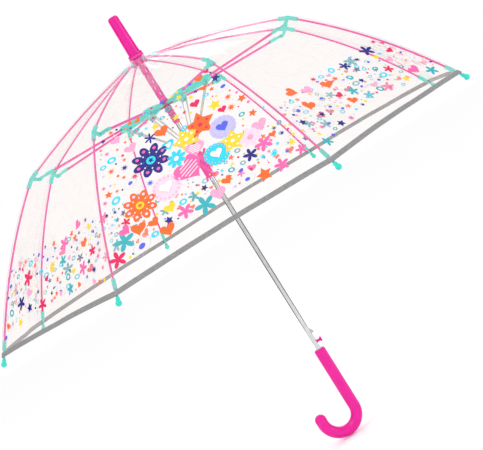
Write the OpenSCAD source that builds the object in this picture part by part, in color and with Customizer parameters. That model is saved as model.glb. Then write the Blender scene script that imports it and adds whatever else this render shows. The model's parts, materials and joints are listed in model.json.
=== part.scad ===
/* [Canopy] */
// Radius from the shaft axis to the centre of each rib tip ball, in mm
tip_radius = 370; // [330:1:410]
// Drop from the rib pivots to the tip ball centres, in mm
tip_drop = 247.4; // [220:0.1:280]
// Radius of the bend in each rib, where its clip sits, in mm
bend_radius = 212.5; // [190:0.5:230]
// Drop from the rib pivots to the rib bends, in mm
bend_drop = 63.9; // [50:0.1:80]
// Thickness of the clear film, in mm
film_thickness = 0.2; // [0.15:0.05:0.5]
// Distance from a rib's centreline to the middle of the film over it, in mm
film_offset = 3.2; // [2.9:0.1:4]
// Gap between neighbouring strips of film, in mm
film_gap = 0.2; // [0.1:0.05:0.5]

/* [Ribs] */
// Diameter of the rib rod, in mm
rib_d = 2.5; // [2:0.1:3.5]
// Total turn of the inner arc of the rib, in degrees
inner_sweep = 11; // [4:0.5:16]
// Slope of the rib at its tip, in degrees below level
tip_slope = 56.4; // [52:0.1:60]
// Diameter of the rib tip balls, in mm
tip_ball_d = 7.5; // [6:0.1:10]
// Angle of the first rib about the shaft, in degrees
first_rib = 199.4; // [0:0.1:360]

/* [Frame] */
// Diameter of the steel shaft tube, in mm
shaft_d = 7.2; // [6:0.1:9]
// Distance from the shaft axis to the rib and stretcher pivots, in mm
pivot_radius = 8.5; // [8:0.1:9.5]
// Radial clearance of each running fit, in mm
running_gap = 0.07; // [0.03:0.01:0.1]
// Drop from the rib pivots to the stretcher pivots on the hub, in mm
hub_drop = 69; // [65:0.1:73]
// Radius of the pivot between a stretcher and its rib clip, in mm
clip_pivot_radius = 203; // [195:0.1:206]
// Drop from the rib pivots to the clip pivots, in mm
clip_pivot_drop = 69.7; // [68:0.1:72]
// Sideways offset of the stretchers, which pass beside the ribs, in mm
stretcher_side = 4.5; // [4.3:0.1:5]
// Radius of the pivot where the wires meet the stretcher arm, in mm
knob_radius = 66.5; // [60:0.1:72]
// Drop from the rib pivots to the knob pivots, in mm
knob_drop = 73.5; // [73:0.1:75]
// Diameter of the link wires, in mm
wire_d = 1.2; // [1:0.1:1.6]

/* [Runner] */
// Drop from the rib pivots to the top of the runner, in mm
runner_drop = 130.5; // [128:0.1:134]
// Length of the runner, in mm
runner_length = 55; // [50:0.5:56]
// Outer diameter of the runner tube, in mm
runner_d = 12.5; // [12:0.1:14]
// Travel of the runner from open to folded, in mm
runner_travel = 262.6; // [255:0.1:265]

/* [Handle] */
// Diameter of the handle grip, in mm
grip_d = 16.4; // [14:0.1:20]
// Radius of the middle line of the handle's hook, in mm
hook_radius = 25; // [20:0.5:32]
// Drop from the rib pivots to the top of the handle, in mm
handle_drop = 464.2; // [455:0.1:470]
// Height of the rib pivots above the middle of the grip, in mm
pivot_height = 500; // [480:1:520]
// Travel of the release button and its catch, in mm
press_travel = 3.4; // [3.2:0.1:3.5]

/* [Colours] */
// Pink of the plastic fittings and ribs
pink = "#f2489b"; // [#f2489b, #ef6f8f, #5a9be0]
// Lighter pink of the top notch
light_pink = "#f78cc0"; // [#f78cc0, #f7a6a0, #9cc4ee]
// Dark magenta of the hub
magenta = "#b3246e"; // [#b3246e, #a8325a, #2a5fa8]
// Turquoise of the clips, tips and arms
turquoise = "#3fbfb2"; // [#3fbfb2, #6fc98a, #f2c23f]
// Bright steel
steel = "#c9ccd2"; // [#c9ccd2, #b4b8bf, #d8c68a]
// Clear film
clear = "#dfeef2"; // [#dfeef2, #f2e4ec, #e6f2df]

/* [Hidden] */
$fn = 48;
$fa = 6;
$fs = 0.4;
half_step = 22.5;
// Inner arc of the rib, from its pivot to its bend
inner_dx = bend_radius - pivot_radius;
inner_chord = norm([inner_dx, bend_drop]);
inner_slope = atan2(bend_drop, inner_dx);
inner_r = inner_chord / 2 / sin(inner_sweep / 2);
inner_start = 90 - inner_slope + inner_sweep / 2;
inner_end_slope = inner_slope + inner_sweep / 2;
inner_cx = pivot_radius - inner_r * cos(inner_start);
inner_cz = -inner_r * sin(inner_start);
// Outer arc of the rib, from its bend to the straight end inside the tip
tip_length = 30;
outer_end = [tip_radius - tip_length * cos(tip_slope), -tip_drop + tip_length * sin(tip_slope)];
outer_chord = norm([outer_end[0] - bend_radius, outer_end[1] + bend_drop]);
outer_slope = atan2(-bend_drop - outer_end[1], outer_end[0] - bend_radius);
outer_sweep = 2 * (tip_slope - outer_slope);
outer_r = outer_chord / 2 / sin(outer_sweep / 2);
outer_start_slope = outer_slope - outer_sweep / 2;
outer_start = 90 - outer_start_slope;
outer_cx = bend_radius - outer_r * cos(outer_start);
outer_cz = -bend_drop - outer_r * sin(outer_start);
// Lines of the film in a rib's plane: distance out from the axis and height, from the top to the hem
inner_steps = 6;
outer_steps = 8;
function inner_at(t, off) =
    let (a = inner_start - inner_sweep * t)
    [inner_cx + (inner_r + off) * cos(a), inner_cz + (inner_r + off) * sin(a)];
function outer_at(t, off) =
    let (a = outer_start - outer_sweep * t)
    [outer_cx + (outer_r + off) * cos(a), outer_cz + (outer_r + off) * sin(a)];
function tip_at(back, off) =
    [tip_radius - back * cos(tip_slope) + off * sin(tip_slope),
     -tip_drop + back * sin(tip_slope) + off * cos(tip_slope)];
bend_mid_slope = (inner_end_slope + outer_start_slope) / 2;
bend_reach = 1 / cos((outer_start_slope - inner_end_slope) / 2);
function bend_at(off) =
    [bend_radius + off * bend_reach * sin(bend_mid_slope),
     -bend_drop + off * bend_reach * cos(bend_mid_slope)];
function film_line(off) = concat(
    [for (k = [0:inner_steps - 1]) inner_at(k / inner_steps, film_offset + off)],
    [bend_at(film_offset + off)],
    [for (k = [1:outer_steps]) outer_at(k / outer_steps, film_offset + off)],
    [tip_at(20, film_offset + off), tip_at(16, 2.6 + off), tip_at(8, 2.4 + off)]
);
function at_mid(line) = [for (p = line) [p[0] * cos(half_step), p[1]]];
function backwards(line) = [for (k = [len(line) - 1:-1:0]) line[k]];
// Pivot between the wires and the runner
link_radius = 9.5;
link_drop = 134.5;
link_dx = knob_radius - link_radius;
link_dz = link_drop - knob_drop;
knob_pin_d = 1.6;
clip_pin_d = 2;
ring_d = 1.2;
guide_d = 9.2;
button_drop = 453.6;
catch_drop = 436;
hook_drop = 555.8;
bottom_drop = 508;
arm_width = 5.2;
wire_side = 3.6;
// Gap in the film along each rib, where the two panels beside it are welded
seam_gap = 0.1;

// Moves its children to the plane of the rib pivots
module top_frame() {
    translate([0, 0, pivot_height]) children();
}

// Moves its children to the plane of rib number i
module at_rib(i) {
    rotate([0, 0, first_rib + 45 * (i - 1)]) top_frame() children();
}

// Cylinder along y, through the point x, z
module y_rod(x, z, d, y0, y1) {
    translate([x, y0, z]) rotate([-90, 0, 0]) cylinder(d = d, h = y1 - y0);
}

// Cylinder in a rib's plane from x, z, sloping down by the angle given
module slope_rod(x, z, slope, d, from, to) {
    translate([x, 0, z]) rotate([0, 90 + slope, 0]) translate([0, 0, from]) cylinder(d = d, h = to - from);
}

// Arc of round rod in a rib's plane
module rod_arc(cx, cz, r, start, sweep, d) {
    translate([cx, 0, cz]) rotate([90, 0, 0]) rotate([0, 0, start]) rotate_extrude(angle = sweep)
        translate([r, 0]) circle(d = d);
}

// Round wire ring through all eight pivots
module pivot_ring(d) {
    rotate_extrude() translate([pivot_radius + 0.04, 0]) circle(d = d);
}

// Disc with eight slots, for the pivoting ends and the ring they turn on
module slotted_disc(d, low, high) {
    difference() {
        translate([0, 0, low]) cylinder(d = d, h = high - low);
        for (k = [0:7]) rotate([0, 0, 45 * k]) translate([5.9, -1.5, low - 1]) cube([12, 3, high - low + 2]);
        pivot_ring(ring_d + 0.2);
    }
}

// ---- Fixed frame ----

module ferrule() {
    color(pink) top_frame() difference() {
        union() {
            translate([0, 0, 8.3]) cylinder(d = 21, h = 2);
            translate([0, 0, 10.3]) cylinder(d1 = 17.4, d2 = 15.2, h = 55.4);
            translate([0, 0, 65.7]) cylinder(d1 = 15.2, d2 = 12.2, h = 2.5);
        }
        translate([0, 0, 7]) cylinder(d = shaft_d + 2 * running_gap, h = 23);
    }
}

module top_notch() {
    color(light_pink) top_frame() rotate([0, 0, first_rib]) difference() {
        union() {
            slotted_disc(22, -6.5, 2);
            translate([0, 0, 1.9]) cylinder(d = 14, h = 2.4);
            translate([0, 0, 4.2]) cylinder(d = 21.6, h = 3);
            translate([0, 0, 7.2]) cylinder(d1 = 21.6, d2 = 20, h = 1);
        }
        translate([0, 0, -7]) cylinder(d = shaft_d + 2 * running_gap, h = 16);
    }
}

module notch_ring() {
    color(steel) top_frame() rotate([0, 0, first_rib]) pivot_ring(ring_d - 0.1);
}

module shaft() {
    color(steel) top_frame() difference() {
        translate([0, 0, -bottom_drop]) cylinder(d = shaft_d, h = bottom_drop + 29);
        translate([0, 0, -bottom_drop - 1]) cylinder(d = shaft_d - 1.6, h = bottom_drop + 31);
        translate([1, -1.1, -catch_drop - 5.5]) cube([5, 2.2, 11]);
        translate([1.5, 0, -button_drop]) rotate([0, 90, 0]) cylinder(d = 4.2, h = 5);
    }
}

module handle() {
    color(pink) top_frame() difference() {
        union() {
            translate([0, 0, -handle_drop - 2]) cylinder(d1 = grip_d, d2 = grip_d - 2.6, h = 2);
            translate([0, 0, -hook_drop]) cylinder(d = grip_d, h = hook_drop - handle_drop - 2);
            translate([-hook_radius, 0, -hook_drop]) rotate([90, 0, 0]) rotate([0, 0, 180])
                rotate_extrude(angle = 180) translate([hook_radius, 0]) circle(d = grip_d);
            translate([-2 * hook_radius, 0, -hook_drop]) cylinder(d = grip_d, h = 6);
            translate([-2 * hook_radius, 0, -hook_drop + 6]) sphere(d = grip_d);
        }
        translate([0, 0, -bottom_drop - 0.5]) cylinder(d = shaft_d + 2 * running_gap, h = 60);
    }
}

// ---- Release button and catch ----

module release_button() {
    color(pink) top_frame() translate([0, 0, -button_drop]) rotate([0, 90, 0]) {
        translate([0, 0, 2.6]) cylinder(d = 4, h = 5.3);
        translate([0, 0, 7.8]) cylinder(d1 = 5.2, d2 = 7.4, h = 2.4);
        translate([0, 0, 10.1]) cylinder(d1 = 7.4, d2 = 6.2, h = 0.9);
    }
}

module catch() {
    color(steel) top_frame() rotate([90, 0, 0]) translate([0, 0, -0.7]) linear_extrude(height = 1.4)
        polygon([
            [1.2, -button_drop - 1.5], [2.6, -button_drop - 1.5], [2.6, -catch_drop - 4.5],
            [6.9, -catch_drop - 4.5], [6.9, -catch_drop - 1.5], [2.9, -catch_drop + 4.5],
            [1.2, -catch_drop + 4.5]
        ]);
}

// ---- Hub ----

module spring_sleeve() {
    color(pink) top_frame() difference() {
        union() {
            translate([0, 0, -98.2]) cylinder(d = guide_d, h = 40);
            translate([0, 0, -61]) cylinder(d = 10.2, h = 53.4);
            translate([0, 0, -65.2]) cylinder(d1 = 12, d2 = 10.2, h = 4.3);
            translate([0, 0, -9.2]) cylinder(d = 11.2, h = 1.6);
        }
        translate([0, 0, -99]) cylinder(d = shaft_d + 2 * running_gap, h = 93);
        for (k = [0:4]) for (s = [0:3])
            rotate([0, 0, 22.5 + 90 * s + 45 * (k % 2)]) translate([0, 0, -17 - 9 * k]) {
                translate([2, -1.3, -1.6]) cube([6, 2.6, 3.2]);
                translate([2, 0, 1.6]) rotate([0, 90, 0]) cylinder(d = 2.6, h = 6);
                translate([2, 0, -1.6]) rotate([0, 90, 0]) cylinder(d = 2.6, h = 6);
            }
    }
}

module stretcher_hub() {
    color(magenta) top_frame() translate([0, 0, -hub_drop]) rotate([0, 0, first_rib]) difference() {
        union() {
            slotted_disc(20.4, -3.4, 3.4);
            translate([0, 0, 2]) cylinder(d = 11.6, h = 1.7);
        }
        translate([0, 0, -5]) cylinder(d = guide_d + 0.06, h = 12);
    }
}

module hub_ring() {
    color(steel) top_frame() translate([0, 0, -hub_drop]) rotate([0, 0, first_rib]) pivot_ring(ring_d - 0.1);
}

module opening_spring() {
    turns = 4.75;
    rise = 24.6;
    wire_r = 0.5;
    coil_r = 5.2;
    // The section of the wire seen from above, stretched around the coil
    stretch = norm([1, 2 * PI * coil_r * turns / rise]);
    section = [
        for (k = [0:7])
            let (a = 45 * k, r = coil_r + wire_r * cos(a), t = wire_r * stretch * sin(a) / coil_r * 180 / PI)
            [r * cos(t), r * sin(t)]
    ];
    color(steel) top_frame() translate([0, 0, -hub_drop - 3.6 - rise])
        linear_extrude(height = rise, twist = -360 * turns, slices = 14 * turns, $fn = 8) polygon(section);
}

// ---- Runner ----

module runner() {
    bottom = runner_drop + runner_length;
    crown = 9.5;
    color(pink) top_frame() difference() {
        union() {
            translate([0, 0, -bottom + 1]) cylinder(d = runner_d, h = runner_length - crown);
            translate([0, 0, -bottom]) cylinder(d = 15.2, h = 2.4);
            translate([0, 0, -bottom + 2.3]) cylinder(d1 = 14.6, d2 = runner_d - 0.6, h = 1.8);
            translate([0, 0, -runner_drop - crown - 2.6]) cylinder(d1 = runner_d - 0.6, d2 = 16.5, h = 3);
            translate([0, 0, -runner_drop - crown]) rotate([0, 0, first_rib]) difference() {
                cylinder(d = 22.6, h = crown);
                for (k = [0:7]) rotate([0, 0, 45 * k]) translate([6.4, -2.9, 2]) cube([12, 5.8, 9]);
            }
            for (k = [0:7]) rotate([0, 0, first_rib + 45 * k])
                translate([5.8, -1.05, -runner_drop - 8.5]) cube([5.2, 2.1, 8]);
        }
        translate([0, 0, -bottom - 1]) cylinder(d = shaft_d + 2 * running_gap, h = runner_length + 2);
        translate([0, 0, -runner_drop - 13]) cylinder(d = 9.8, h = 14);
        for (k = [0:7]) rotate([0, 0, first_rib + 45 * k])
            y_rod(link_radius, -link_drop, wire_d + 2 * running_gap, -1.5, 1.5);
        translate([2, -1.4, -catch_drop + runner_travel - 5]) cube([8, 2.8, 10]);
    }
}

// ---- One rib with its fittings ----

module rib_shape() {
    skip = 1.5 / inner_r * 180 / PI;
    color(pink) {
        rod_arc(inner_cx, inner_cz, inner_r, inner_start - inner_sweep, inner_sweep - skip, rib_d);
        rod_arc(outer_cx, outer_cz, outer_r, outer_start - outer_sweep, outer_sweep, rib_d);
        translate([bend_radius, 0, -bend_drop]) sphere(d = rib_d + 0.1);
        slope_rod(outer_end[0], outer_end[1], tip_slope, rib_d, 0, 8);
        difference() {
            y_rod(pivot_radius, 0, 4.4, -1.2, 1.2);
            y_rod(pivot_radius, 0, ring_d + 2 * running_gap, -2, 2);
        }
    }
}

module rib_fittings_shape() {
    sleeve = inner_at(0.075, 0);
    sleeve_slope = inner_slope - inner_sweep / 2 + inner_sweep * 0.09;
    bore = rib_d + 0.2;
    color(turquoise) {
        // Sleeve near the inner end of the rib
        difference() {
            slope_rod(sleeve[0], sleeve[1], sleeve_slope, 4.2, -3, 4.5);
            slope_rod(sleeve[0], sleeve[1], sleeve_slope, bore, -4, 6);
        }
        // Clip at the bend, with the stub that carries the stretcher's pin
        difference() {
            union() {
                slope_rod(bend_radius, -bend_drop, inner_end_slope, 5.4, -13, 0);
                slope_rod(bend_radius, -bend_drop, outer_start_slope, 5.4, 0, 13);
                translate([bend_radius, 0, -bend_drop]) sphere(d = 5.6);
                rotate([90, 0, 0]) translate([0, 0, -1.4]) linear_extrude(height = 2.8)
                    polygon([
                        [bend_radius - 3, -bend_drop + 1], [bend_radius + 1.5, -bend_drop - 1.5],
                        [clip_pivot_radius + 1.6, -clip_pivot_drop - 1.8],
                        [clip_pivot_radius - 2.4, -clip_pivot_drop + 0.6]
                    ]);
                y_rod(clip_pivot_radius, -clip_pivot_drop, 4.8, -1.4, 1.4);
            }
            slope_rod(bend_radius, -bend_drop, inner_end_slope, bore, -14, 0);
            slope_rod(bend_radius, -bend_drop, outer_start_slope, bore, 0, 14);
            translate([bend_radius, 0, -bend_drop]) sphere(d = bore + 0.2);
        }
        y_rod(clip_pivot_radius, -clip_pivot_drop, clip_pin_d, 1.3, 7.5);
        y_rod(clip_pivot_radius, -clip_pivot_drop, 3.2, 7, 7.6);
        // Tip, with the neck that the hem is held on
        difference() {
            slope_rod(tip_radius, -tip_drop, tip_slope, 4.8, -tip_length, -17.5);
            slope_rod(tip_radius, -tip_drop, tip_slope, bore, -tip_length - 1, -20);
        }
        slope_rod(tip_radius, -tip_drop, tip_slope, 3, -18, 0);
        slope_rod(tip_radius, -tip_drop, tip_slope, 5, -6.5, -2);
        translate([tip_radius, 0, -tip_drop]) sphere(d = tip_ball_d);
    }
}

// ---- One stretcher with its arm, end fitting and wires ----

module stretcher_shape() {
    color(pink) translate([50.5, stretcher_side, -hub_drop]) rotate([90, 0, 90])
        linear_extrude(height = 140)
        polygon([
            [-1.7, 1.4], [1.7, 1.4], [1.7, -1.4], [1.1, -1.4],
            [1.1, 0.7], [-1.1, 0.7], [-1.1, -1.4], [-1.7, -1.4]
        ]);
}

module stretcher_arm_shape() {
    color(turquoise) {
        // Arm, from the hub to just past the knob
        difference() {
            union() {
                y_rod(pivot_radius, -hub_drop, 4, -1.15, 1.15);
                translate([pivot_radius, -1.15, -hub_drop - 2]) cube([12, 2.3, 4]);
                translate([0, 0, -hub_drop - 2]) linear_extrude(height = 4)
                    polygon([
                        [16, -1.15], [20, -1.15], [30, stretcher_side - arm_width / 2],
                        [34, stretcher_side - arm_width / 2], [34, stretcher_side + arm_width / 2],
                        [26, stretcher_side + arm_width / 2], [16, 1.15]
                    ]);
                translate([0, stretcher_side + arm_width / 2, 0]) rotate([90, 0, 0])
                    linear_extrude(height = arm_width)
                    polygon([
                        [25, -hub_drop - 2], [25, -hub_drop + 2], [40, -hub_drop + 3.6],
                        [68, -hub_drop + 4], [74, -hub_drop + 3.4], [77, -hub_drop + 1.6],
                        [77, -hub_drop - 1.9], [70, -hub_drop - 3.4], [40, -hub_drop - 3]
                    ]);
                y_rod(knob_radius, -knob_drop, 5.6, stretcher_side - 2.6, stretcher_side + 2.6);
                translate([knob_radius - 2.8, stretcher_side - 2.6, -knob_drop])
                    cube([5.6, 5.2, 2.5]);
            }
            y_rod(pivot_radius, -hub_drop, ring_d + 2 * running_gap, -2, 2);
            translate([50, stretcher_side - 1.8, -hub_drop - 1.5]) cube([40, 3.6, 3]);
        }
        y_rod(knob_radius, -knob_drop, knob_pin_d, stretcher_side - 4.9, stretcher_side + 4.9);
        y_rod(knob_radius, -knob_drop, 2.6, stretcher_side - 5.2, stretcher_side - 4.6);
        y_rod(knob_radius, -knob_drop, 2.6, stretcher_side + 4.6, stretcher_side + 5.2);
        // End fitting, from the channel to the pin on the rib's clip
        difference() {
            union() {
                translate([182, stretcher_side - 2.4, -hub_drop - 1.7]) cube([11, 4.8, 4.1]);
                translate([190, stretcher_side - 1.5, -hub_drop - 1.7]) cube([13, 3, 3.4]);
                y_rod(clip_pivot_radius, -clip_pivot_drop, 5, stretcher_side - 1.5, stretcher_side + 2.3);
            }
            translate([181, stretcher_side - 1.8, -hub_drop - 3]) cube([9.6, 3.6, 4.5]);
            y_rod(clip_pivot_radius, -clip_pivot_drop, clip_pin_d + 2 * running_gap, 0, 9);
        }
    }
}

// A cylinder of wire between two points
module wire(a, b, d) {
    v = b - a;
    translate(a) rotate([0, acos(v[2] / norm(v)), atan2(v[1], v[0])]) cylinder(d = d, h = norm(v));
}

module link_shape() {
    low = [link_radius, 0, -link_drop];
    knob = [knob_radius, stretcher_side, -knob_drop];
    side = [0, wire_side, 0];
    foot = [0, 1.9, 0];
    back = 1.2 / norm([link_dx, link_dz]);
    color(steel) {
        wire(low - foot, low + foot, wire_d);
        for (s = [-1, 1]) {
            translate(low + s * foot) sphere(d = wire_d + 0.2);
            wire(low + s * foot, (low + s * foot) * back + (knob + s * side) * (1 - back), wire_d);
            difference() {
                y_rod(knob[0], knob[2], 2.9, knob[1] + s * wire_side - 0.6, knob[1] + s * wire_side + 0.6);
                y_rod(knob[0], knob[2], knob_pin_d + 2 * running_gap,
                      knob[1] + s * wire_side - 2, knob[1] + s * wire_side + 2);
            }
        }
    }
}

// ---- Strip of canopy film over one rib, out to the middle of the gap on each side ----

module canopy_half() {
    profile = concat(at_mid(film_line(film_thickness / 2)), backwards(at_mid(film_line(-film_thickness / 2))));
    rotate([0, 0, half_step]) difference() {
        rotate([90, 0, 0]) linear_extrude(height = 170) polygon(profile);
        rotate([0, 0, -half_step]) translate([-1, -200, -300]) cube([420, 200 + seam_gap / 2, 320]);
        translate([-1, -film_gap / 2, -300]) cube([420, 1, 320]);
    }
}

module canopy_shape() {
    color(clear, 0.35) {
        canopy_half();
        mirror([0, 1, 0]) canopy_half();
    }
}

module rib_1() {
    at_rib(1) rib_shape();
}

module rib_2() {
    at_rib(2) rib_shape();
}

module rib_3() {
    at_rib(3) rib_shape();
}

module rib_4() {
    at_rib(4) rib_shape();
}

module rib_5() {
    at_rib(5) rib_shape();
}

module rib_6() {
    at_rib(6) rib_shape();
}

module rib_7() {
    at_rib(7) rib_shape();
}

module rib_8() {
    at_rib(8) rib_shape();
}

module rib_fittings_1() {
    at_rib(1) rib_fittings_shape();
}

module rib_fittings_2() {
    at_rib(2) rib_fittings_shape();
}

module rib_fittings_3() {
    at_rib(3) rib_fittings_shape();
}

module rib_fittings_4() {
    at_rib(4) rib_fittings_shape();
}

module rib_fittings_5() {
    at_rib(5) rib_fittings_shape();
}

module rib_fittings_6() {
    at_rib(6) rib_fittings_shape();
}

module rib_fittings_7() {
    at_rib(7) rib_fittings_shape();
}

module rib_fittings_8() {
    at_rib(8) rib_fittings_shape();
}

module stretcher_1() {
    at_rib(1) stretcher_shape();
}

module stretcher_2() {
    at_rib(2) stretcher_shape();
}

module stretcher_3() {
    at_rib(3) stretcher_shape();
}

module stretcher_4() {
    at_rib(4) stretcher_shape();
}

module stretcher_5() {
    at_rib(5) stretcher_shape();
}

module stretcher_6() {
    at_rib(6) stretcher_shape();
}

module stretcher_7() {
    at_rib(7) stretcher_shape();
}

module stretcher_8() {
    at_rib(8) stretcher_shape();
}

module stretcher_arm_1() {
    at_rib(1) stretcher_arm_shape();
}

module stretcher_arm_2() {
    at_rib(2) stretcher_arm_shape();
}

module stretcher_arm_3() {
    at_rib(3) stretcher_arm_shape();
}

module stretcher_arm_4() {
    at_rib(4) stretcher_arm_shape();
}

module stretcher_arm_5() {
    at_rib(5) stretcher_arm_shape();
}

module stretcher_arm_6() {
    at_rib(6) stretcher_arm_shape();
}

module stretcher_arm_7() {
    at_rib(7) stretcher_arm_shape();
}

module stretcher_arm_8() {
    at_rib(8) stretcher_arm_shape();
}

module link_1() {
    at_rib(1) link_shape();
}

module link_2() {
    at_rib(2) link_shape();
}

module link_3() {
    at_rib(3) link_shape();
}

module link_4() {
    at_rib(4) link_shape();
}

module link_5() {
    at_rib(5) link_shape();
}

module link_6() {
    at_rib(6) link_shape();
}

module link_7() {
    at_rib(7) link_shape();
}

module link_8() {
    at_rib(8) link_shape();
}

module canopy_1() {
    at_rib(1) canopy_shape();
}

module canopy_2() {
    at_rib(2) canopy_shape();
}

module canopy_3() {
    at_rib(3) canopy_shape();
}

module canopy_4() {
    at_rib(4) canopy_shape();
}

module canopy_5() {
    at_rib(5) canopy_shape();
}

module canopy_6() {
    at_rib(6) canopy_shape();
}

module canopy_7() {
    at_rib(7) canopy_shape();
}

module canopy_8() {
    at_rib(8) canopy_shape();
}

ferrule();
top_notch();
notch_ring();
shaft();
handle();
release_button();
catch();
spring_sleeve();
stretcher_hub();
hub_ring();
opening_spring();
runner();
rib_1();
rib_2();
rib_3();
rib_4();
rib_5();
rib_6();
rib_7();
rib_8();
rib_fittings_1();
rib_fittings_2();
rib_fittings_3();
rib_fittings_4();
rib_fittings_5();
rib_fittings_6();
rib_fittings_7();
rib_fittings_8();
stretcher_1();
stretcher_2();
stretcher_3();
stretcher_4();
stretcher_5();
stretcher_6();
stretcher_7();
stretcher_8();
stretcher_arm_1();
stretcher_arm_2();
stretcher_arm_3();
stretcher_arm_4();
stretcher_arm_5();
stretcher_arm_6();
stretcher_arm_7();
stretcher_arm_8();
link_1();
link_2();
link_3();
link_4();
link_5();
link_6();
link_7();
link_8();
canopy_1();
canopy_2();
canopy_3();
canopy_4();
canopy_5();
canopy_6();
canopy_7();
canopy_8();
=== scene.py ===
"""Looks of the children's clear dome umbrella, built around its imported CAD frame."""
import json
import math
import random

import bpy
from mathutils import Matrix, Vector


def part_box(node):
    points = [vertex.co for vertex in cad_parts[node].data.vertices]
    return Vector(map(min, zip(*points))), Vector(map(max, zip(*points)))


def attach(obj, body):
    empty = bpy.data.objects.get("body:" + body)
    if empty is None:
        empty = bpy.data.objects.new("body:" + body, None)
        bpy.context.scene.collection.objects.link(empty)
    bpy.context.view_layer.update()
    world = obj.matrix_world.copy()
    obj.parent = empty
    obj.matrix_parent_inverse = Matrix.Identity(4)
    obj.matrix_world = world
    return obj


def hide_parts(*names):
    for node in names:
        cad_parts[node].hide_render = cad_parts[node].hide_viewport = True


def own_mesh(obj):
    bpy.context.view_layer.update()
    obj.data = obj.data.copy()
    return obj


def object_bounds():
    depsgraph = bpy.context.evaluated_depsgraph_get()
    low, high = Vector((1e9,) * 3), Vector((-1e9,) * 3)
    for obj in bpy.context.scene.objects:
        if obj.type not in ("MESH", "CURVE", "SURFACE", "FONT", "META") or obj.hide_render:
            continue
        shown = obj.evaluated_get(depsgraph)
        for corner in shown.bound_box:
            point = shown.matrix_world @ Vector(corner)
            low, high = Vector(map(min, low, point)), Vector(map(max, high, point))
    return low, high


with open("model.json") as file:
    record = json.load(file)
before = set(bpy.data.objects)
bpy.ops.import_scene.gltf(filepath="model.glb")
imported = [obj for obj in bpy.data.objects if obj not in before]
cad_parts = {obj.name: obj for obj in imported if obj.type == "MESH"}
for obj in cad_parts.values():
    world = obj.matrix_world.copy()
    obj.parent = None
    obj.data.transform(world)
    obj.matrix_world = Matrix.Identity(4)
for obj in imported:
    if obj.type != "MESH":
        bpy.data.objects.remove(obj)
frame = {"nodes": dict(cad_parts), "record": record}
cad_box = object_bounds()

# ---- Driving dimensions, in metres and degrees, as in the CAD model ----
PIVOT_HEIGHT = 0.5
PIVOT_RADIUS = 0.0085
BEND = (0.2125, -0.0639)
TIP = (0.370, -0.2474)
TIP_SLOPE = 56.4
TIP_LENGTH = 0.030
INNER_SWEEP = 11
FILM_OFFSET = 0.0032
FIRST_RIB = 199.4
RIBS = 8
HALF_STEP = math.radians(180 / RIBS)
FOLD_ANGLE = math.radians(48)
BAND_EDGES = (0.0, 0.5, 0.64, 0.76, 0.88, 1.0)
ROWS_PER_METRE = 110
HALF_COLUMNS = 9
SEAM_WIDTH = 0.0028
HEM_WIDTH = 0.0066
HEM_RISE = 0.003
PRINT_LIFT = 0.0005
LAYER_LIFT = 0.0003
# alpha of the painted wrinkle highlights on the film
CREASE_GLINT_ALPHA = 0.10
SPRING_TURNS = 4.75
SPRING_STEPS_A_TURN = 24
SPRING_SIDES = 10
SPRING_RADIUS = 0.0052
SPRING_WIRE = 0.0005


# ---- The line of the film in a rib's plane ----
def arc_points(start, end, sweep, count):
    """Points on an arc that bulges outwards and falls from start to end, pushed out by the film's offset."""
    chord = math.dist(start, end)
    slope = math.degrees(math.atan2(start[1] - end[1], end[0] - start[0]))
    radius = chord / 2 / math.sin(math.radians(sweep / 2))
    first = math.radians(90 - slope + sweep / 2)
    centre = (start[0] - radius * math.cos(first), start[1] - radius * math.sin(first))
    points = []
    for k in range(count + 1):
        a = first - math.radians(sweep) * k / count
        reach = radius + FILM_OFFSET
        points.append((centre[0] + reach * math.cos(a), centre[1] + reach * math.sin(a)))
    return points


def tip_point(back, offset):
    s = math.radians(TIP_SLOPE)
    return (
        TIP[0] - back * math.cos(s) + offset * math.sin(s),
        TIP[1] + back * math.sin(s) + offset * math.cos(s),
    )


def film_line():
    outer_end = tip_point(TIP_LENGTH, 0)
    slope = math.degrees(math.atan2(BEND[1] - outer_end[1], outer_end[0] - BEND[0]))
    outer_sweep = 2 * (TIP_SLOPE - slope)
    inner = arc_points((PIVOT_RADIUS, 0), BEND, INNER_SWEEP, 40)
    outer = arc_points(BEND, outer_end, outer_sweep, 40)
    return inner[:-1] + outer[1:] + [
        tip_point(0.020, FILM_OFFSET), tip_point(0.016, 0.0026), tip_point(0.008, 0.0024)
    ]


def resampled(line, count):
    """The same line with its points evenly spaced."""
    along = [0.0]
    for p, q in zip(line, line[1:]):
        along.append(along[-1] + math.dist(p, q))
    out = []
    k = 0
    for n in range(count + 1):
        want = along[-1] * n / count
        while k < len(line) - 2 and along[k + 1] < want:
            k += 1
        t = (want - along[k]) / (along[k + 1] - along[k])
        out.append(tuple(a + (b - a) * t for a, b in zip(line[k], line[k + 1])))
    return out


def smoothed(line, rounds):
    for _ in range(rounds):
        middle = [
            tuple((a + 2 * b + c) / 4 for a, b, c in zip(line[k - 1], line[k], line[k + 1]))
            for k in range(1, len(line) - 1)
        ]
        line = [line[0]] + middle + [line[-1]]
    return line


STEPS = 400
SHARP = resampled(film_line(), STEPS)
ROUND = smoothed(SHARP, 120)
LENGTH = sum(math.dist(p, q) for p, q in zip(SHARP, SHARP[1:]))


def line_at(share, roundness):
    """Point and outward normal of the film's line at a share of its length, rounded between the ribs."""
    x = min(max(share, 0.0), 1.0) * STEPS
    k = min(int(x), STEPS - 1)
    t = x - k

    def blend(n):
        return [a + (b - a) * roundness for a, b in zip(SHARP[n], ROUND[n])]

    p, q = blend(k), blend(k + 1)
    size = math.dist(p, q)
    point = (p[0] + (q[0] - p[0]) * t, p[1] + (q[1] - p[1]) * t)
    normal = ((p[1] - q[1]) / size, (q[0] - p[0]) / size)
    return point, normal


def smoothstep(t):
    t = min(max(t, 0.0), 1.0)
    return t * t * (3 - 2 * t)


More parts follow.
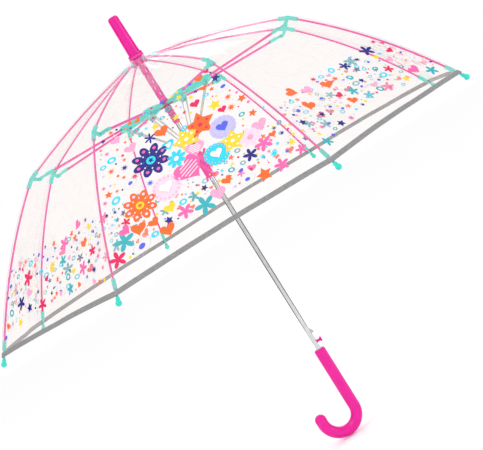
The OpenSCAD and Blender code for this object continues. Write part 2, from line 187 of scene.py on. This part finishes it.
def wrinkle(panel, share, across):
    """Small bulges of the taut film, along its normal; none at the ribs, which are at across = -1 and 1."""
    free = (1 - across * across) * smoothstep(share * 6) * smoothstep((1.06 - share) * 8)
    wave = math.sin(across * 5.1 + panel * 1.7 + share * 4) + 0.6 * math.sin(across * 11 - share * 9 + panel)
    fan = math.sin((1 + across) * 16 * (1.2 - share)) + math.sin((1 - across) * 15 * (1.2 - share) + panel)
    return free * (0.0007 * wave + 0.0006 * fan - 0.0022)


def film_point(panel, share, across, lift=0.0):
    """A point on one panel's film. share runs from notch, 0, to hem, 1; across from rib to rib, -1 to 1."""
    rise = HEM_RISE / LENGTH * (1 - across * across)
    bowed = share - rise * smoothstep((share - 0.6) / 0.4)
    (r, z), (nr, nz) = line_at(bowed, 1 - across * across)
    mid = FIRST_RIB + 45 * (panel - 1) + 22.5
    a = math.radians(mid)
    out = wrinkle(panel, share, across) + lift
    x = r * math.cos(HALF_STEP) + nr * out
    y = r * math.sin(HALF_STEP) * across
    return Vector((
        x * math.cos(a) - y * math.sin(a),
        x * math.sin(a) + y * math.cos(a),
        PIVOT_HEIGHT + z + nz * out,
    ))


def half_width(share):
    return line_at(share, 0)[0][0] * math.sin(HALF_STEP)


def panel_point(panel, w, h, lift):
    """A point given by its distance w from the panel's middle line and its height h above the hem line."""
    share = 1 - h / LENGTH
    return film_point(panel, share, w / half_width(share), lift)


# ---- Materials ----
def new_material(name, colour, roughness, **sockets):
    m = bpy.data.materials.new(name)
    m.use_nodes = True
    shader = m.node_tree.nodes["Principled BSDF"]
    shader.inputs["Base Color"].default_value = (*colour, 1)
    shader.inputs["Roughness"].default_value = roughness
    for key, value in sockets.items():
        shader.inputs[key.replace("_", " ")].default_value = value
    return m, m.node_tree, shader


def noise_colour(tree, shader, colour, amount, scale):
    """Gentle variation of the base colour."""
    noise = tree.nodes.new("ShaderNodeTexNoise")
    coords = tree.nodes.new("ShaderNodeTexCoord")
    ramp = tree.nodes.new("ShaderNodeValToRGB")
    noise.inputs["Scale"].default_value = scale
    noise.inputs["Detail"].default_value = 4
    tree.links.new(coords.outputs["Object"], noise.inputs["Vector"])
    ramp.color_ramp.elements[0].position = 0.3
    ramp.color_ramp.elements[1].position = 0.7
    ramp.color_ramp.elements[0].color = (*[max(c * (1 - amount), 0) for c in colour], 1)
    ramp.color_ramp.elements[1].color = (*[min(c * (1 + amount), 1) for c in colour], 1)
    tree.links.new(noise.outputs["Fac"], ramp.inputs["Fac"])
    tree.links.new(ramp.outputs["Color"], shader.inputs["Base Color"])
    return noise


def noise_bump(tree, shader, scale, strength, distance):
    noise = tree.nodes.new("ShaderNodeTexNoise")
    coords = tree.nodes.new("ShaderNodeTexCoord")
    bump = tree.nodes.new("ShaderNodeBump")
    noise.inputs["Scale"].default_value = scale
    bump.inputs["Strength"].default_value = strength
    bump.inputs["Distance"].default_value = distance
    tree.links.new(coords.outputs["Object"], noise.inputs["Vector"])
    tree.links.new(noise.outputs["Fac"], bump.inputs["Height"])
    tree.links.new(bump.outputs["Normal"], shader.inputs["Normal"])


def moulded(name, colour, roughness=0.28):
    """Glossy moulded plastic with a faint mottle and orange peel."""
    m, tree, shader = new_material(
        name, colour, roughness, Coat_Weight=0.12, Coat_Roughness=0.1, Specular_IOR_Level=0.3
    )
    noise_colour(tree, shader, colour, 0.05, 60)
    noise_bump(tree, shader, 900, 0.06, 0.0004)
    return m


def metal(name, colour, roughness):
    m, tree, shader = new_material(name, colour, roughness, Metallic=1.0)
    noise_colour(tree, shader, colour, 0.08, 180)
    noise_bump(tree, shader, 1400, 0.05, 0.0002)
    return m


def woven(name, colour):
    """Matt tape with a fine weave."""
    m, tree, shader = new_material(name, colour, 0.6)
    noise_colour(tree, shader, colour, 0.15, 420)
    noise_bump(tree, shader, 2200, 0.3, 0.0003)
    return m


def film_material(name, colour, clear_alpha, edge_alpha, roughness):
    """Clear film, nearly invisible face on, milkier where it is seen edge on, with thin painted highlights of
    its wrinkles: lines along noise creases where its alpha rises.
    """
    m, tree, shader = new_material(name, colour, roughness)
    weight = tree.nodes.new("ShaderNodeLayerWeight")
    weight.inputs["Blend"].default_value = 0.35
    spread = tree.nodes.new("ShaderNodeMapRange")
    spread.inputs["To Min"].default_value = clear_alpha
    spread.inputs["To Max"].default_value = edge_alpha
    tree.links.new(weight.outputs["Facing"], spread.inputs["Value"])
    # Painted highlight: thin lines of higher alpha where the noise is near its mid value, standing in for
    # light caught on the film's wrinkles.
    noise = tree.nodes.new("ShaderNodeTexNoise")
    coords = tree.nodes.new("ShaderNodeTexCoord")
    crease_glint = tree.nodes.new("ShaderNodeValToRGB")
    total = tree.nodes.new("ShaderNodeMath")
    noise.inputs["Scale"].default_value = 9
    noise.inputs["Detail"].default_value = 3
    noise.inputs["Distortion"].default_value = 1.2
    crease_glint.color_ramp.elements[0].position = 0.47
    crease_glint.color_ramp.elements[0].color = (0, 0, 0, 1)
    crease_glint.color_ramp.elements[1].position = 0.53
    crease_glint.color_ramp.elements[1].color = (0, 0, 0, 1)
    line = crease_glint.color_ramp.elements.new(0.5)
    line.color = (CREASE_GLINT_ALPHA, CREASE_GLINT_ALPHA, CREASE_GLINT_ALPHA, 1)
    tree.links.new(coords.outputs["Object"], noise.inputs["Vector"])
    tree.links.new(noise.outputs["Fac"], crease_glint.inputs["Fac"])
    tree.links.new(spread.outputs["Result"], total.inputs[0])
    tree.links.new(crease_glint.outputs["Color"], total.inputs[1])
    tree.links.new(total.outputs["Value"], shader.inputs["Alpha"])
    noise_bump(tree, shader, 28, 0.4, 0.004)
    return m


def print_material(name, colour):
    m, tree, shader = new_material(name, colour, 0.4)
    noise_colour(tree, shader, colour, 0.06, 240)
    return m


PINK = moulded("pink_plastic_look", (0.74, 0.001, 0.28))
ROD_PINK = moulded("pink_rod_look", (0.76, 0.012, 0.31), 0.3)
LIGHT_PINK = moulded("light_pink_look", (0.84, 0.035, 0.38))
MAGENTA = moulded("magenta_look", (0.40, 0.006, 0.14))
TURQUOISE = moulded("turquoise_look", (0.035, 0.62, 0.53), 0.32)
STEEL = metal("steel_wire_look", (0.50, 0.50, 0.52), 0.3)
CHROME = metal("chrome_tube_look", (0.60, 0.60, 0.62), 0.1)
FILM = film_material("clear_film_look", (0.78, 0.66, 0.62), 0.045, 0.32, 0.1)
SEAM = film_material("film_seam_look", (0.70, 0.58, 0.60), 0.16, 0.5, 0.2)
HEM = woven("grey_hem_look", (0.24, 0.24, 0.245))

LOOKS = {
    "pink_plastic": PINK,
    "light_pink_plastic": LIGHT_PINK,
    "magenta_plastic": MAGENTA,
    "turquoise_plastic": TURQUOISE,
    "pink_rib": ROD_PINK,
    "steel_wire": STEEL,
    "chrome_tube": CHROME,
}

PRINT_COLOURS = {
    "pink": (0.90, 0.12, 0.38),
    "rose": (0.93, 0.36, 0.56),
    "pale_pink": (0.96, 0.62, 0.74),
    "orange": (0.90, 0.13, 0.012),
    "yellow": (0.95, 0.62, 0.02),
    "crimson": (0.72, 0.004, 0.10),
    "navy": (0.006, 0.008, 0.20),
    "teal": (0.03, 0.40, 0.46),
    "cyan": (0.02, 0.62, 0.78),
    "violet": (0.09, 0.11, 0.72),
    "lilac": (0.50, 0.50, 0.82),
    "grey": (0.55, 0.56, 0.60),
    "white": (0.95, 0.95, 0.95),
}
PRINTS = {name: print_material("print_" + name, colour) for name, colour in PRINT_COLOURS.items()}
PRINT_ORDER = list(PRINTS)

for node in frame["nodes"].values():
    for subpart in frame["record"]["subparts"]:
        if subpart["node"] == node.name and subpart["material_slot"] in LOOKS:
            for held in node.material_slots:
                held.material = LOOKS[subpart["material_slot"]]


# ---- Printed motifs: each is a list of (outline, colour, layer) about its own middle, for size 1 ----
def circle(radius, count=20, x=0.0, y=0.0, squeeze=1.0, turn=0.0):
    points = []
    for k in range(count):
        a = 2 * math.pi * k / count
        u, v = radius * math.cos(a), radius * squeeze * math.sin(a)
        points.append((
            x + u * math.cos(turn) - v * math.sin(turn),
            y + u * math.sin(turn) + v * math.cos(turn),
        ))
    return points


def band(outer, inner):
    """Quads between two outlines with as many points."""
    count = len(outer)
    return [[outer[k], outer[(k + 1) % count], inner[(k + 1) % count], inner[k]] for k in range(count)]


def heart_outline(size, x=0.0, y=0.0):
    points = []
    for k in range(32):
        a = 2 * math.pi * k / 32
        u = 16 * math.sin(a) ** 3
        v = 13 * math.cos(a) - 5 * math.cos(2 * a) - 2 * math.cos(3 * a) - math.cos(4 * a)
        points.append((x + size * u / 17, y + size * (v + 2) / 17))
    return points


def star_outline(tips, inner, size=1.0, x=0.0, y=0.0):
    points = []
    for k in range(2 * tips):
        a = math.pi / 2 + math.pi * k / tips
        reach = size * (1 if k % 2 == 0 else inner)
        points.append((x + reach * math.cos(a), y + reach * math.sin(a)))
    return points


def heart(colour):
    return [(heart_outline(1), colour, 0)]


def star(colour):
    return [(star_outline(5, 0.5), colour, 0)]


def burst(colour):
    return [(star_outline(8, 0.38), colour, 0)]


def petals(colour, count=5, slim=0.24):
    """An asterisk-like flower: slim petals around a small middle."""
    shapes = [(circle(0.3, 12), colour, 0)]
    for k in range(count):
        a = 2 * math.pi * k / count + 0.3
        reach = 0.56
        shapes.append((circle(0.46, 14, reach * math.cos(a), reach * math.sin(a), slim / 0.46, a), colour, 0))
    return shapes


def ring(colour, hole=0.5):
    return [(quad, colour, 0) for quad in band(circle(1, 20, squeeze=0.8), circle(hole, 20, squeeze=0.8))]


def dot(colour):
    return [(circle(1, 12), colour, 0)]


def orbit(colour):
    """An oval with thin loops around it."""
    shapes = [(circle(0.5, 18, squeeze=0.75, turn=0.4), colour, 1)]
    for reach, turn in ((1.35, 0.3), (1.6, 0.55)):
        outer = circle(reach, 36, squeeze=0.62, turn=turn)
        inner = circle(reach - 0.05, 36, squeeze=0.62, turn=turn)
        shapes += [(quad, "grey", 0) for quad in band(outer, inner)]
    return shapes


def dotted_daisy(colour, middle, spots):
    """A big flower with a dot on each petal and a small star in its middle."""
    shapes = daisy(colour, middle)
    for k in range(8):
        a = 2 * math.pi * k / 8
        shapes.append((circle(0.09, 10, 0.7 * math.cos(a), 0.7 * math.sin(a)), spots, 1))
        shapes.append((circle(0.04, 8, 0.48 * math.cos(a + 0.39), 0.48 * math.sin(a + 0.39)), "white", 1))
    shapes.append((star_outline(5, 0.5, 0.15), colour, 2))
    return shapes


def scalloped(colour, middle):
    edge = []
    for k in range(96):
        a = 2 * math.pi * k / 96
        reach = 0.93 + 0.07 * abs(math.cos(9 * a))
        edge.append((reach * math.cos(a), reach * math.sin(a)))
    shapes = [(edge, colour, 0), (heart_outline(0.48), middle, 1)]
    for k in range(18):
        a = 2 * math.pi * k / 18
        shapes.append((circle(0.05, 8, 0.8 * math.cos(a), 0.8 * math.sin(a)), "rose", 1))
    return shapes


def striped_heart(colour, stripe):
    shapes = [(heart_outline(1), colour, 0)]
    for k in range(-2, 3):
        y = 0.1 + 0.2 * k
        reach = 0.62 - 0.12 * abs(k)
        low, high = y - 0.04, y + 0.04
        shapes.append(([(-reach, low), (reach, low), (reach, high), (-reach, high)], stripe, 1))
    return shapes


def dotted_star(colour, mark):
    shapes = [(star_outline(5, 0.55), colour, 0)]
    for k in range(5):
        a = math.pi / 2 + 2 * math.pi * k / 5
        shapes.append((circle(0.08, 10, 0.5 * math.cos(a), 0.5 * math.sin(a)), mark, 1))
    shapes.append((circle(0.14, 12), mark, 1))
    return shapes


def daisy(colour, middle):
    shapes = []
    for k in range(8):
        a = 2 * math.pi * k / 8
        shapes.append((circle(0.36, 14, 0.62 * math.cos(a), 0.62 * math.sin(a), 0.62, a), colour, 0))
    shapes.append((circle(0.36, 20), colour, 0))
    shapes.append((circle(0.24, 16), middle, 1))
    return shapes


# The front panel's motifs: motif, mm across from the middle, mm up from the hem, size in mm, turn in degrees
FRONT = [
    (dotted_daisy("navy", "cyan", "pink"), -35, 138, 25, 10),
    (daisy("cyan", "white"), -8, 117, 13, 0),
    (heart("cyan"), -9, 142, 9, 0),
    (heart("white"), -9, 142, 4.5, 0),
    (dotted_star("yellow", "white"), 13, 134, 19, 10),
    (dotted_star("orange", "crimson"), 35, 143, 20, -8),
    (scalloped("lilac", "violet"), 56, 121, 17, 0),
    (dotted_daisy("orange", "yellow", "pale_pink"), -70, 86, 22, 8),
    (heart("orange"), -84, 58, 10, -15),
    (scalloped("pale_pink", "white"), -34, 89, 19, 0),
    (striped_heart("pink", "pale_pink"), 0, 92, 21, 20),
    (striped_heart("rose", "white"), 16, 113, 13, -12),
    (scalloped("cyan", "white"), 35, 90, 16, 0),
    (dotted_star("yellow", "white"), 58, 95, 17, -15),
    (daisy("pale_pink", "rose"), 77, 86, 15, 0),
    (petals("teal"), -5, 38, 13, 10),
    (heart("rose"), 14, 41, 10, -10),
    (star("orange"), 69, 31, 10, 0),
    (heart("orange"), -55, 35, 10, 0),
    (heart("yellow"), -41, 60, 8, 8),
    (petals("pink"), -28, 45, 10, 20),
    (star("navy"), -49, 46, 6, 0),
    (petals("teal"), -104, 54, 13, 0),
    (orbit("violet"), -89, 36, 9, 0),
    (petals("crimson"), -120, 38, 11, 0),
    (heart("orange"), -8, 167, 10, 8),
    (petals("navy", 6, 0.16), -24, 169, 8, 0),
    (heart("rose"), -49, 171, 9, 15),
    (petals("navy"), 67, 64, 9, 0),
    (heart("rose"), 93, 93, 10, 0),
    (petals("pink"), 86, 68, 11, 10),
    (burst("cyan"), 90, 48, 6, 0),
    (orbit("violet"), 49, 52, 6, 0),
    (heart("orange"), 30, 50, 7, 10),
    (petals("pink"), 91, 30, 9, 0),
    (burst("yellow"), 113, 49, 6, 0),
    (star("yellow"), 61, 157, 9, 0),
    (heart("crimson"), 66, 144, 6, 0),
    (heart("crimson"), 42, 175, 7, 0),
    (ring("cyan"), 17, 152, 5, 0),
    (ring("cyan"), -25, 58, 5, 0),
    (ring("cyan"), -70, 40, 5, 0),
    (burst("navy"), -66, 148, 5, 0),
    (burst("crimson"), -60, 128, 5, 0),
    (petals("crimson"), -93, 76, 6, 0),
    (heart("pink"), -98, 66, 8, 30),
    (orbit("violet"), -68, 122, 6, 0),
    (burst("orange"), 76, 140, 6, 0),
    (heart("orange"), 100, 72, 5, 0),
    (star("yellow"), -12, 181, 6, 0),
    (petals("pink"), 118, 34, 7, 0),
    (burst("violet"), -48, 108, 5, 0),
]

SMALL = [
    (heart, ["orange", "rose", "crimson", "yellow", "pink"], (4, 10)),
    (star, ["yellow", "orange", "navy"], (3, 7)),
    (petals, ["teal", "crimson", "pink", "navy", "teal"], (7, 13)),
    (burst, ["pink", "orange", "cyan", "navy", "crimson"], (2.8, 5.5)),
    (ring, ["cyan", "teal"], (3.2, 6.5)),
    (orbit, ["violet"], (4, 7)),
    (dot, ["crimson", "yellow", "navy", "grey", "orange", "lilac"], (0.8, 2)),
]


def scattered(panel, low, high, count, taken):
    """Small motifs that keep clear of each other, the same ones each run."""
    rng = random.Random(40 + panel)
    out = []
    for _ in range(count * 30):
        if len(out) >= count:
            break
        make, colours, sizes = rng.choice(SMALL)
        size = rng.uniform(*sizes)
        h = low + (high - low) * rng.random() ** 1.25
        edge = half_width(1 - h / 1000 / LENGTH) * 1000 - size - 6
        w = rng.uniform(-edge, edge)
        if h < low + 14 * (1 - (w / edge) ** 2):
            continue
        if any(math.hypot(w - x, h - y) < size + other + 1.5 for x, y, other in taken):
            continue
        taken.append((w, h, size))
        out.append((make(rng.choice(colours)), w, h, size, rng.uniform(-40, 40)))
    return out


def motifs_of(panel):
    if panel == 2:
        taken = [(w, h, size) for _, w, h, size, _ in FRONT]
        return FRONT + scattered(panel, 24, 215, 150, taken)
    return scattered(panel, 20, 112, 95, [])


def pleat_share(share):
    """How narrow the film's strip is when folded, so that it meets the next strip between the ribs."""
    (r, z), _ = line_at(share, 0)
    out = r * math.cos(HALF_STEP) ** 2
    folded = PIVOT_RADIUS + (out - PIVOT_RADIUS) * math.cos(FOLD_ANGLE) + z * math.sin(FOLD_ANGLE)
    return folded * math.tan(HALF_STEP) / (r * math.cos(HALF_STEP) * math.sin(HALF_STEP))


def band_keep(index):
    low, high = BAND_EDGES[index], BAND_EDGES[index + 1]
    shares = [max(low, 0.05) + (high - max(low, 0.05)) * k / 8 for k in range(9)]
    return min(max(min(pleat_share(s) for s in shares), 0.06), 1.0)


def band_of(share):
    for k in range(len(BAND_EDGES) - 1):
        if share <= BAND_EDGES[k + 1]:
            return k
    return len(BAND_EDGES) - 2


def add_piece(name, vertices, faces, materials, face_materials, rib, index, sharp=True):
    """A mesh on one rib, parented to that rib's body; its band's folded width is worked out but not used."""
    mesh = bpy.data.meshes.new(name)
    mesh.from_pydata([tuple(v) for v in vertices], [], faces)
    for m in materials:
        mesh.materials.append(m)
    mesh.polygons.foreach_set("material_index", face_materials)
    mesh.polygons.foreach_set("use_smooth", [True] * len(faces))
    mesh.update()
    if sharp:
        mesh.set_sharp_from_angle(angle=math.radians(14))
    piece = bpy.data.objects.new(name, mesh)
    bpy.context.scene.collection.objects.link(piece)
    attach(piece, f"rib_{rib}")
    band_keep(index)
    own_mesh(piece)
    return piece


def strip_point(rib, share, side, inward, lift=0.0):
    """A point on the strip over a rib: side -1 or 1, inward 0 at the rib and 1 at the panel's middle."""
    if side > 0:
        return film_point(rib, share, -1 + inward, lift)
    return film_point(rib - 1 if rib > 1 else RIBS, share, 1 - inward, lift)


def columns_at(share):
    """Signed places across a strip, with the seam beside the rib at a constant width."""
    seam = min(SEAM_WIDTH / half_width(share), 0.3)
    half = [0.0, seam] + [seam + (1 - seam) * k / HALF_COLUMNS for k in range(1, HALF_COLUMNS + 1)]
    return [(-1, t) for t in reversed(half[1:])] + [(1, t) for t in half]


def film_band(rib, index):
    low, high = BAND_EDGES[index], BAND_EDGES[index + 1]
    rows = max(3, round((high - low) * LENGTH * ROWS_PER_METRE))
    vertices, faces, marks = [], [], []
    width = 0
    for n in range(rows + 1):
        share = low + (high - low) * n / rows
        columns = columns_at(share)
        width = len(columns)
        vertices += [strip_point(rib, share, side, t) for side, t in columns]
    for n in range(rows):
        for c in range(width - 1):
            at = n * width + c
            faces.append((at, at + 1, at + 1 + width, at + width))
            marks.append(1 if abs(c - (width - 2) / 2) <= 1 else 0)
    piece = add_piece(f"film_{rib}_{index + 1}", vertices, faces, [FILM, SEAM], marks, rib, index)
    span = 2 * half_width(high) * 1.02
    return piece


def hem(rib):
    """The grey tape folded around the edge of the film, thicker at its two stitched lines."""
    profile = [
        (0.0, 0.0004), (0.1, 0.0009), (0.3, 0.0008), (0.5, 0.0007),
        (0.7, 0.0008), (0.9, 0.0009), (1.0, 0.0004),
        (1.0, -0.0004), (0.9, -0.0008), (0.5, -0.0006), (0.1, -0.0008), (0.0, -0.0004),
    ]
    columns = [(-1, 1 - k / 16) for k in range(16)] + [(1, k / 16) for k in range(17)]
    vertices, faces = [], []
    for side, t in columns:
        for along, lift in profile:
            share = 1 - HEM_WIDTH * (1 - along) / LENGTH
            vertices.append(strip_point(rib, share, side, t, lift))
    count = len(profile)
    for c in range(len(columns) - 1):
        for k in range(count):
            at, after = c * count + k, c * count + (k + 1) % count
            faces.append((at, after, after + count, at + count))
    faces.append(tuple(range(count)))
    faces.append(tuple(reversed(range((len(columns) - 1) * count, len(columns) * count))))
    return add_piece(f"hem_{rib}", vertices, faces, [HEM], [0] * len(faces), rib, len(BAND_EDGES) - 2)


def print_pieces():
    """All motifs, gathered into one piece for each strip and band that has any."""
    gathered = {}
    for panel in range(1, RIBS + 1):
        for shapes, w, h, size, turn in motifs_of(panel):
            rib = panel if w < 0 else panel % RIBS + 1
            index = band_of(1 - h / 1000 / LENGTH)
            store = gathered.setdefault((rib, index), ([], [], []))
            a = math.radians(turn)
            for outline, colour, layer in shapes:
                start = len(store[0])
                for u, v in outline:
                    x = w + size * (u * math.cos(a) - v * math.sin(a))
                    y = h + size * (u * math.sin(a) + v * math.cos(a))
                    store[0].append(panel_point(panel, x / 1000, y / 1000, PRINT_LIFT + layer * LAYER_LIFT))
                store[1].append(tuple(range(start, len(store[0]))))
                store[2].append(PRINT_ORDER.index(colour))
    for (rib, index), (vertices, faces, marks) in sorted(gathered.items()):
        name = f"prints_{rib}_{index + 1}"
        add_piece(name, vertices, faces, list(PRINTS.values()), marks, rib, index, sharp=False)


def opening_spring():
    """The coil under the hub, a fixed mesh at the CAD spring's length; the real one is pressed shorter by the
    runner as the umbrella folds.
    """
    (_, _, low), (_, _, top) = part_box("opening_spring")
    steps = round(SPRING_TURNS * SPRING_STEPS_A_TURN)
    pitch = (top - low - 2 * SPRING_WIRE) / steps
    vertices, faces = [], []
    for n in range(steps + 1):
        a = 2 * math.pi * n / SPRING_STEPS_A_TURN
        for k in range(SPRING_SIDES):
            b = 2 * math.pi * k / SPRING_SIDES
            r = SPRING_RADIUS + SPRING_WIRE * math.cos(b)
            z = low + SPRING_WIRE * (1 + math.sin(b)) + pitch * n
            vertices.append((r * math.cos(a), r * math.sin(a), z))
    for n in range(steps):
        for k in range(SPRING_SIDES):
            at, after = n * SPRING_SIDES + k, n * SPRING_SIDES + (k + 1) % SPRING_SIDES
            faces.append((at, at + SPRING_SIDES, after + SPRING_SIDES, after))
    faces.append(tuple(range(SPRING_SIDES)))
    faces.append(tuple(reversed(range(steps * SPRING_SIDES, (steps + 1) * SPRING_SIDES))))
    mesh = bpy.data.meshes.new("spring_coil")
    mesh.from_pydata(vertices, [], faces)
    mesh.materials.append(STEEL)
    mesh.polygons.foreach_set("use_smooth", [True] * len(faces))
    mesh.update()
    coil = bpy.data.objects.new("spring_coil", mesh)
    bpy.context.scene.collection.objects.link(coil)
    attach(coil, "hub")
    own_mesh(coil)
    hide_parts("opening_spring")


for rib in range(1, RIBS + 1):
    strips = [film_band(rib, index) for index in range(len(BAND_EDGES) - 1)]
    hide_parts(f"canopy_{rib}")
    hem(rib)
print_pieces()
opening_spring()


# ---- Floor, light and camera ----
def floor():
    bpy.ops.mesh.primitive_plane_add(size=12, location=(0, 0, cad_box[0][2] - 0.001))
    plane = bpy.context.object
    plane.name = "floor"
    plane.data.materials.append(new_material("floor_look", (0.98, 0.98, 0.98), 0.9)[0])


def area_light(name, place, energy, size):
    light = bpy.data.lights.new(name, "AREA")
    light.energy = energy
    light.size = size
    lamp = bpy.data.objects.new(name, light)
    lamp.location = place
    lamp.rotation_euler = (Vector((0, 0, 0.3)) - Vector(place)).to_track_quat("-Z", "Y").to_euler()
    bpy.context.scene.collection.objects.link(lamp)


def dark_card(name, side):
    """A dark card beside the set, seen only in reflections, that gives the metal its dark edges."""
    bpy.ops.mesh.primitive_plane_add(size=1, location=(side * 1.0, 0.2, 0.5))
    card = bpy.context.object
    card.name = name
    card.scale = (1.16, 0.9, 1)
    card.rotation_euler = (0, math.radians(90), 0)
    card.data.materials.append(new_material(name + "_look", (0.02, 0.02, 0.02), 0.9)[0])
    card.visible_camera = False
    card.visible_diffuse = False
    card.visible_transmission = False
    card.visible_shadow = False


def photo_camera():
    """A view nearly level with the rim, close in, with the umbrella leaning in the picture."""
    lens = bpy.data.cameras.new("camera")
    lens.lens = 92.83
    lens.sensor_width = 36
    lens.sensor_fit = "HORIZONTAL"
    camera = bpy.data.objects.new("camera", lens)
    roll, tilt = math.radians(-32.0), math.radians(-2.95)
    camera.matrix_world = (
        Matrix.Translation((0, -1.6998, 0.3244))
        @ Matrix.Rotation(math.radians(90) + tilt, 4, "X")
        @ Matrix.Rotation(roll, 4, "Z")
    )
    bpy.context.scene.collection.objects.link(camera)
    bpy.context.scene.camera = camera


floor()
dark_card("card_left", -1)
dark_card("card_right", 1)
area_light("key", (-1.1, -1.3, 1.5), 9, 0.7)
area_light("fill", (1.5, -0.8, 0.7), 5, 0.9)
area_light("back", (0.4, 1.6, 1.1), 6, 0.9)
photo_camera()
world = bpy.data.worlds.new("world")
world.use_nodes = True
world.node_tree.nodes["Background"].inputs["Color"].default_value = (1, 1, 1, 1)
world.node_tree.nodes["Background"].inputs["Strength"].default_value = 1.0
bpy.context.scene.world = world
bpy.context.scene.view_settings.view_transform = "Standard"
